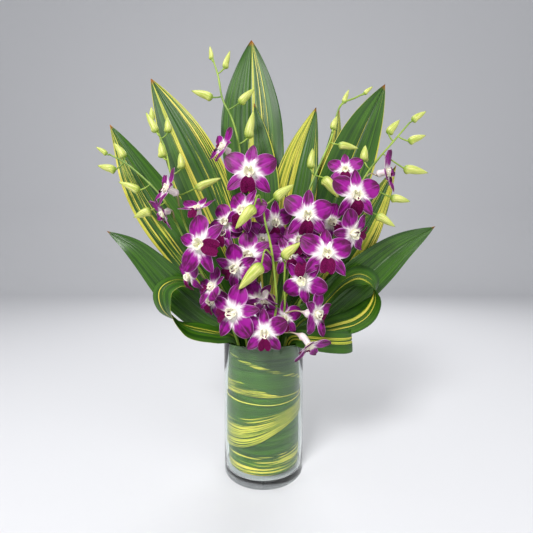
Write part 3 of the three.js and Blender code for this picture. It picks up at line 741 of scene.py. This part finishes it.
def add_bud(skin, path, bud, seed):
    """A bud: pedicel with a bend, then a keeled teardrop with a chin at its base."""
    base, tip = vec(bud["base"]), vec(bud["tip"])
    size = bud.get("size", 1.0)
    axis = tip - base
    length = np.linalg.norm(axis)
    axis /= length
    root = nearest_on_stem(path, base - 0.15 * axis * length)
    rng = random.Random(seed)
    down = vec([0, 0, -1])
    chin_side = unit(down - down.dot(axis) * axis + 0.001 * vec([1, 0, 0]))
    joint = base + chin_side * 1.0 * size + axis * 1.5
    if "hook" in bud:
        rise = vec(bud["hook"])
        line = Path([root, rise, joint])
    else:
        line = Path([root, root * 0.55 + base * 0.45 + vec([0, -1.5, -1.5]), joint])
    us = np.linspace(0, 1, PEDICEL_GRID[0])
    skin.tube(line, us, PEDICEL_RADIUS * (1 + 0.25 * us), PEDICEL_GRID[1], 2, seed)
    rows, sides = BUD_GRID
    v = np.linspace(0, 1, rows)
    swell = (np.sin(math.pi * v ** 0.62).clip(0) ** 0.75) * BUD_RADIUS * size
    swell = np.maximum(swell, 0.25)
    other = np.cross(axis, chin_side)
    angles = np.linspace(0, 2 * math.pi, sides, endpoint=False)
    keel = 1 + 0.09 * np.cos(3 * angles)[None, :] * v[:, None]
    bend = rng.uniform(-1, 1) * 2.0
    rings = np.zeros((rows, sides, 3))
    for i in range(rows):
        centre = base + axis * length * v[i] + other * bend * v[i] ** 2
        chin = 0.5 * BUD_RADIUS * size * math.exp(-((v[i] - 0.14) / 0.12) ** 2)
        r = swell[i] * keel[i]
        spread = np.outer(np.cos(angles) * r, chin_side) + np.outer(np.sin(angles) * r * 0.92, other)
        push = np.outer(np.clip(np.cos(angles), 0, 1) * chin, chin_side)
        rings[i] = centre + spread + push
    skin.rings(rings, 1, seed)


def build_spray(spec, index):
    path = stem_path(spec)
    skin = Skin()
    us = np.linspace(0, 1, STEM_GRID[0])
    radius = STEM_RADIUS + (STEM_TIP_RADIUS - STEM_RADIUS) * us
    for k in range(1, 14):
        radius = radius + 0.35 * np.exp(-((us - k / 14) / 0.006) ** 2)
    skin.tube(path, us, radius, STEM_GRID[1], 0, index)
    for k, bud in enumerate(spec["buds"]):
        add_bud(skin, path, bud, index * 10 + k)
    piece = skin.build("stem_" + spec["name"], [LOOKS["stem"], LOOKS["bud"], LOOKS["stem"]])
    stand_for(piece, spec["name"])


SPRAYS = [
    dict(name="spray_top", slot=(-14, -20),
         route=[(-26, -26, 340), (-32, -20, 440), (-36, -14, 495), (-47, -12, 540), (-62, -9, 572),
                (-69, -7, 608), (-79, -5, 640)],
         buds=[dict(base=(-78, -5, 632), tip=(-81, -5, 652), size=0.6),
               dict(base=(-60, -7, 618), tip=(-51, -5, 645), size=0.75),
               dict(base=(-76, -9, 575), tip=(-109, -8, 584)),
               dict(base=(-38, -9, 566), tip=(-13, -8, 588)),
               dict(base=(-25, -11, 512), tip=(-15, -9, 554), size=1.15)]),
    dict(name="spray_left", slot=(-28, -12),
         route=[(-66, -16, 290), (-112, -15, 365), (-138, -11, 445), (-150, -8, 497), (-168, -6, 538)],
         buds=[dict(base=(-170, -6, 540), tip=(-171, -5, 562), size=0.8),
               dict(base=(-161, -9, 522), tip=(-178, -10, 552), size=0.95),
               dict(base=(-145, -4, 523), tip=(-148, -3, 548)),
               dict(base=(-152, -11, 483), tip=(-157, -11, 508)),
               dict(base=(-124, -7, 467), tip=(-129, -6, 493)),
               dict(base=(-102, -22, 436), tip=(-62, -28, 450))]),
    dict(name="spray_far_left", slot=(-40, -26),
         route=[(-82, -28, 290), (-120, -22, 362), (-151, -16, 420), (-178, -12, 449), (-212, -8, 477),
                (-236, -6, 490)],
         buds=[dict(base=(-239, -6, 491), tip=(-256, -5, 501), size=0.65),
               dict(base=(-212, -4, 486), tip=(-231, -3, 509)),
               dict(base=(-224, -11, 466), tip=(-251, -12, 471)),
               dict(base=(-186, -15, 434), tip=(-218, -16, 446)),
               dict(base=(-168, -22, 404), tip=(-194, -22, 392), size=1.1)]),
    dict(name="spray_front", slot=(6, -46),
         route=[(18, -66, 262), (16, -76, 305), (11, -80, 345), (2, -76, 385), (0, -72, 402)],
         buds=[dict(base=(-12, -86, 402), tip=(-36, -92, 370), size=1.2, hook=(-6, -86, 415)),
               dict(base=(14, -68, 414), tip=(42, -66, 432), size=1.1),
               dict(base=(-2, -98, 326), tip=(-31, -104, 292), size=1.35, hook=(3, -97, 343))]),
    dict(name="spray_front_short", slot=(20, -40),
         route=[(30, -62, 264), (29, -70, 297), (30, -72, 326)],
         buds=[dict(base=(24, -84, 334), tip=(50, -88, 353), size=1.1)]),
    dict(name="spray_right", slot=(18, -14),
         route=[(42, -20, 330), (66, -14, 425), (82, -10, 465), (103, -6, 513), (119, -3, 566),
                (140, -1, 577), (154, 0, 584)],
         buds=[dict(base=(154, 0, 584), tip=(168, 0, 595), size=0.55),
               dict(base=(122, -1, 569), tip=(131, 0, 590), size=0.65),
               dict(base=(104, -7, 527), tip=(113, -6, 549), size=0.85),
               dict(base=(113, -12, 504), tip=(144, -12, 497), size=0.9),
               dict(base=(70, -14, 466), tip=(75, -13, 498)),
               dict(base=(90, -26, 452), tip=(111, -34, 419), size=1.25)]),
    dict(name="spray_far_right", slot=(34, -24),
         route=[(80, -30, 320), (124, -26, 400), (154, -18, 456), (176, -14, 484), (197, -12, 508),
                (222, -10, 537)],
         buds=[dict(base=(224, -10, 540), tip=(246, -10, 553), size=0.85),
               dict(base=(187, -11, 520), tip=(207, -9, 541)),
               dict(base=(218, -13, 508), tip=(246, -13, 517), size=0.95),
               dict(base=(210, -18, 467), tip=(247, -18, 459), size=1.1),
               dict(base=(151, -15, 476), tip=(154, -13, 502), size=1.1),
               dict(base=(190, -22, 423), tip=(220, -20, 416)),
               dict(base=(165, -36, 396), tip=(191, -38, 377))]),
]


# ---- flowers ---------------------------------------------------------------------------------

FLOWER_SLOTS = ["petal", "back", "sepal", "lip", "throat", "chin"]


def tepal(skin, turn, length, width, belly, blunt, slots, rng, pitch, recurve, cup, start=0.06):
    """A sepal or petal in the flower's own frame, growing outward from the throat."""
    rows, cols = TEPAL_GRID
    u = np.linspace(0, 1, rows)
    s = np.linspace(-1, 1, cols)
    grid_s, grid_u = np.meshgrid(s, u)
    shape = np.sin(math.pi * (0.12 + 0.88 * grid_u) ** belly).clip(0) ** blunt
    half = width * np.maximum(shape, 0.03)
    away = start + (1 - start) * length * grid_u
    sway = rng.uniform(-0.05, 0.05) * length
    x = grid_s * half + sway * grid_u ** 2
    z = pitch * away - recurve * grid_u ** 2.2 + cup * (grid_s * half / width) ** 2 * width
    ruffle = 0.018 * np.sin(grid_u * 9 + rng.uniform(0, 6) + 2 * np.sign(grid_s)) * grid_s ** 2
    keel = -0.022 * np.exp(-(grid_s / 0.12) ** 2) * np.sin(math.pi * grid_u).clip(0)
    z = z + ruffle + keel + rng.uniform(-0.05, 0.05) * grid_s * grid_u
    thick = 0.014 * (0.35 + 0.65 * np.sqrt(np.clip(1 - grid_s ** 2, 0, 1)))
    a = math.radians(turn)
    out = vec([math.sin(a), math.cos(a), 0])
    across = vec([math.cos(a), -math.sin(a), 0])
    base = away[..., None] * out + x[..., None] * across
    up = vec([0, 0, 1])
    front = base + (z + thick)[..., None] * up
    back = base + (z - thick)[..., None] * up
    grain = np.stack([grid_s, grid_u, np.full_like(grid_u, rng.uniform(0, 50))], -1)
    skin.slab(front, back, grain, slots)


def lip(skin, rng, openness):
    """The lip: narrow claw, two upright side lobes and a broad notched blade that turns down."""
    rows, cols = LIP_GRID
    u = np.linspace(0, 1, rows)
    s = np.linspace(-1, 1, cols)
    grid_s, grid_u = np.meshgrid(s, u)
    notch = 0.10 * np.exp(-(grid_s / 0.25) ** 2)
    reach = grid_u * (0.66 - notch * grid_u)
    half = 0.08 + 0.19 * smooth(0.25, 0.7, grid_u) - 0.06 * smooth(0.85, 1.0, grid_u)
    bend = openness * smooth(0.2, 1.0, grid_u)
    y = -0.10 - reach * np.cos(0.9 - bend)
    z = 0.0 + reach * np.sin(0.9 - bend)
    trough = 0.55 * half * grid_s ** 2 * (1 - 0.75 * smooth(0.35, 0.8, grid_u))
    flutter = 0.02 * np.sin(grid_s * 7 + grid_u * 6) * smooth(0.5, 1, grid_u)
    lift = trough + flutter
    x = grid_s * half
    front = np.stack([x, y + lift * 0.5, z + lift], -1)
    back = front + vec([0, -0.018, -0.018])
    grain = np.stack([grid_s, grid_u, np.full_like(grid_u, rng.uniform(0, 50))], -1)
    skin.slab(front, back, grain, (3, 3))


def throat(skin, rng):
    """The cup made by the lip's side lobes, and the column standing over it."""
    angles = np.linspace(0, 2 * math.pi, THROAT_SIDES, endpoint=False)
    rings = []
    outer = [(0.02, -0.06), (0.11, -0.04), (0.165, 0.05), (0.185, 0.15), (0.195, 0.22)]
    inner = [(0.175, 0.22), (0.15, 0.14), (0.11, 0.05), (0.03, 0.02)]
    for radius, height in outer + inner:
        lobe = 1 + 0.10 * np.cos(5 * angles + 0.6) * (height / 0.22)
        x = radius * lobe * np.cos(angles)
        y = radius * lobe * np.sin(angles) * 1.08 - 0.03
        rim = height + 0.04 * np.cos(2 * angles) * max(0, height / 0.22)
        rings.append(np.stack([x, y, rim], -1))
    skin.rings(np.array(rings), 4, rng.uniform(0, 9))
    line = Path([(0, 0.04, -0.04), (0, 0.12, 0.1), (0, 0.10, 0.22), (0, 0.03, 0.27)])
    us = np.linspace(0, 1, COLUMN_GRID[0])
    radius = 0.045 + 0.022 * np.sin(math.pi * us) - 0.03 * smooth(0.85, 1.0, us)
    skin.tube(line, us, radius, COLUMN_GRID[1], 4, 1.0)


def place_skin(skin, spec, offset):
    """Moves the points added since offset from the flower's own frame to the arrangement's."""
    face = direction(spec["facing"][0], spec["facing"][1])
    right = unit(np.cross(vec([0, 0, 1]), face))
    top = np.cross(face, right)
    roll = math.radians(spec["facing"][2])
    turned_right = right * math.cos(roll) - top * math.sin(roll)
    turned_top = right * math.sin(roll) + top * math.cos(roll)
    basis = np.stack([turned_right, turned_top, face])
    for k in range(offset, len(skin.points)):
        skin.points[k] = vec(spec["at"]) + (skin.points[k] * spec["radius"]) @ basis
    return turned_right, turned_top, face


def add_chin(skin, spec, face, top):
    """Pedicel from the spray, widening into the chin that the lower sepals make."""
    spray = next(s for s in SPRAYS if s["name"] == spec["spray"])
    centre = vec(spec["at"])
    size = spec["radius"]
    chin = centre - face * CHIN_LENGTH * size
    root = nearest_on_stem(stem_path(spray), chin + vec([0, 0, -STEM_DROP]))
    along = unit(chin - root)
    root = root + along * (STEM_RADIUS + 0.3)
    middle = (root + chin) / 2 + vec([0, 0, 3])
    throat_back = centre - face * 0.2 * size
    throat_front = centre + face * 0.02 * size
    line = Path([root, middle, chin - 0.05 * size * top, throat_back, throat_front])
    us = np.linspace(0, 1, CHIN_GRID[0])
    swell = 0.125 * size * smooth(0.45, 0.8, us)
    tail = 0.06 * size * np.exp(-((us - 0.68) / 0.08) ** 2)
    skin.tube(line, us, PEDICEL_RADIUS + swell + tail, CHIN_GRID[1], 5, spec["at"][0])


def build_flower(spec, index):
    rng = random.Random(FLOWER_SEED + index)
    skin = Skin()
    open_up = spec.get("open", 0.0)

    def vary(amount):
        return rng.uniform(-amount, amount)

    tepal(skin, 0 + vary(5), 0.98, 0.22, 1.05, 0.62, (2, 1), rng, 0.06 + open_up, 0.14 + vary(0.05), 0.12)
    for side in (-1, 1):
        tepal(skin, side * (62 + vary(6)), 1.04, 0.40, 1.3, 0.56, (0, 1), rng,
              0.12 + open_up, 0.2 + vary(0.08), -0.1)
        tepal(skin, side * (135 + vary(6)), 1.0, 0.24, 1.05, 0.62, (2, 1), rng,
              0.04 + open_up, 0.14 + vary(0.1), 0.14)
    lip(skin, rng, 0.95 + vary(0.2))
    throat(skin, rng)
    _, top, face = place_skin(skin, spec, 0)
    add_chin(skin, spec, face, top)
    piece = skin.build(f"bloom_{index + 1:02d}", [LOOKS[k] for k in FLOWER_SLOTS])
    stand_for(piece, f"flower_{index + 1:02d}")


FLOWERS = [
    dict(at=(-59, -22, 495), radius=29, facing=(-50, 22, 100), spray="spray_top", open=0.3),
    dict(at=(-19, -56, 452), radius=40, facing=(-4, 6, 4), spray="spray_top"),
    dict(at=(-136, -44, 430), radius=31, facing=(-52, 20, 100), spray="spray_left", open=0.3),
    dict(at=(-146, -30, 398), radius=27, facing=(-60, -28, 30), spray="spray_far_left", open=0.3),
    dict(at=(-82, -88, 350), radius=41, facing=(-28, 8, -78), spray="spray_far_left"),
    dict(at=(-93, -48, 400), radius=27, facing=(-20, 62, 0), spray="spray_left", open=0.4),
    dict(at=(-26, -66, 397), radius=34, facing=(-30, 12, 24), spray="spray_top"),
    dict(at=(59, -76, 390), radius=36, facing=(6, 4, 6), spray="spray_right"),
    dict(at=(129, -58, 420), radius=37, facing=(6, 2, 2), spray="spray_far_right"),
    dict(at=(122, -22, 462), radius=28, facing=(-14, 24, 0), spray="spray_far_right", open=0.2),
    dict(at=(180, -26, 458), radius=31, facing=(56, 4, -60), spray="spray_far_right", open=0.3),
    dict(at=(124, -60, 366), radius=36, facing=(34, -16, -96), spray="spray_far_right"),
    dict(at=(82, -92, 338), radius=38, facing=(8, 24, 6), spray="spray_right"),
    dict(at=(-19, -72, 336), radius=34, facing=(-14, 6, 60), spray="spray_top"),
    dict(at=(16, -46, 384), radius=30, facing=(20, -12, 0), spray="spray_top"),
    dict(at=(53, -90, 302), radius=32, facing=(-30, -10, 176), spray="spray_front_short"),
    dict(at=(-38, -98, 262), radius=37, facing=(-24, 4, 76), spray="spray_top"),
    dict(at=(2, -104, 238), radius=31, facing=(0, 4, 0), spray="spray_front"),
    dict(at=(-68, -74, 292), radius=28, facing=(-46, 30, 60), spray="spray_far_left", open=0.3),
    dict(at=(70, -86, 258), radius=33, facing=(48, 0, -60), spray="spray_front_short", open=0.2),
    dict(at=(62, -72, 214), radius=28, facing=(38, -44, 0), spray="spray_front_short", open=0.5),
    dict(at=(2, -68, 276), radius=25, facing=(-20, -58, 0), spray="spray_front", open=0.5),
    dict(at=(36, -48, 340), radius=28, facing=(-8, 12, 30), spray="spray_right"),
    dict(at=(-106, -50, 306), radius=27, facing=(-50, -14, 0), spray="spray_far_left"),
    dict(at=(-58, -42, 366), radius=27, facing=(-6, 34, 10), spray="spray_left"),
    dict(at=(-53, -45, 383), radius=30, facing=(-20, 10, 40), spray="spray_left"),
    dict(at=(-2, -48, 357), radius=30, facing=(10, 0, 20), spray="spray_front"),
    dict(at=(35, -52, 336), radius=30, facing=(0, 10, -20), spray="spray_front_short"),
    dict(at=(-37, -74, 319), radius=32, facing=(-20, -10, 60), spray="spray_top"),
    dict(at=(96, -45, 383), radius=30, facing=(20, 10, -30), spray="spray_right"),
    dict(at=(52, -50, 357), radius=28, facing=(-10, 20, 10), spray="spray_right"),
    dict(at=(-72, -60, 273), radius=28, facing=(-30, -10, 20), spray="spray_far_left"),
    dict(at=(29, -60, 248), radius=27, facing=(10, 0, 0), spray="spray_front_short"),
    dict(at=(-8, -52, 272), radius=29, facing=(0, 0, 40), spray="spray_front"),
]


# ---- stage -----------------------------------------------------------------------------------

def build_stage():
    """A plain pale floor that curves up into a backdrop."""
    width, depth, height, bend = 6.0, 2.2, 3.5, 0.8
    arc = [(depth + bend * math.sin(a), bend - bend * math.cos(a)) for a in np.radians(range(0, 91, 9))]
    profile = [(-3.0, 0.0)] + arc + [(depth + bend, height)]
    points = [(x, y, z) for y, z in profile for x in (-width, width)]
    faces = [(2 * i, 2 * i + 1, 2 * i + 3, 2 * i + 2) for i in range(len(profile) - 1)]
    mesh = bpy.data.meshes.new("backdrop")
    mesh.from_pydata(points, [], faces)
    mesh.polygons.foreach_set("use_smooth", [True] * len(faces))
    floor = bpy.data.objects.new("backdrop", mesh)
    bpy.context.scene.collection.objects.link(floor)
    look = Look("backdrop_paint")
    look.shader.inputs["Base Color"].default_value = (0.66, 0.66, 0.68, 1)
    look.shader.inputs["Roughness"].default_value = 0.75
    mesh.materials.append(look.material)


def add_light(name, place, aim, size, power, colour=(1, 1, 1)):
    data = bpy.data.lights.new(name, "AREA")
    data.shape = "RECTANGLE"
    data.size, data.size_y = size
    data.energy = power
    data.color = colour
    light = bpy.data.objects.new(name, data)
    bpy.context.scene.collection.objects.link(light)
    light.location = place
    light.rotation_euler = (Vector(aim) - Vector(place)).to_track_quat("-Z", "Y").to_euler()


def build_lights():
    middle = (0, 0, 0.4)
    add_light("key", (-0.7, -1.5, 1.7), middle, (0.6, 0.6), 46)
    add_light("fill", (1.5, -1.3, 0.9), middle, (1.4, 1.4), 10)
    add_light("back", (0.3, 1.5, 1.5), middle, (1.6, 1.0), 16)
    world = bpy.data.worlds.new("studio")
    bpy.context.scene.world = world
    world.use_nodes = True
    world.node_tree.nodes["Background"].inputs["Color"].default_value = (0.95, 0.97, 1.0, 1)
    world.node_tree.nodes["Background"].inputs["Strength"].default_value = 0.55


def build_camera():
    """A short lens at the height of the flowers, looking level."""
    data = bpy.data.cameras.new("camera")
    data.lens = 23.3
    data.sensor_width = 36
    data.clip_start = 0.01
    camera = bpy.data.objects.new("camera", data)
    bpy.context.scene.collection.objects.link(camera)
    camera.location = (0.0046, -0.541, 0.3387)
    camera.rotation_euler = (math.radians(90 - 2.21), 0, 0)
    bpy.context.scene.camera = camera


bpy.context.scene.view_settings.view_transform = "Standard"
build_vase()
for number, liner in enumerate(LINERS):
    build_liner(liner, number)
for leaf in LEAVES:
    build_leaf(leaf)
for loop in LOOPS:
    build_loop(loop)
for number, spray in enumerate(SPRAYS):
    build_spray(spray, number)
for number, flower in enumerate(FLOWERS):
    build_flower(flower, number)
build_stage()
build_lights()
build_camera()
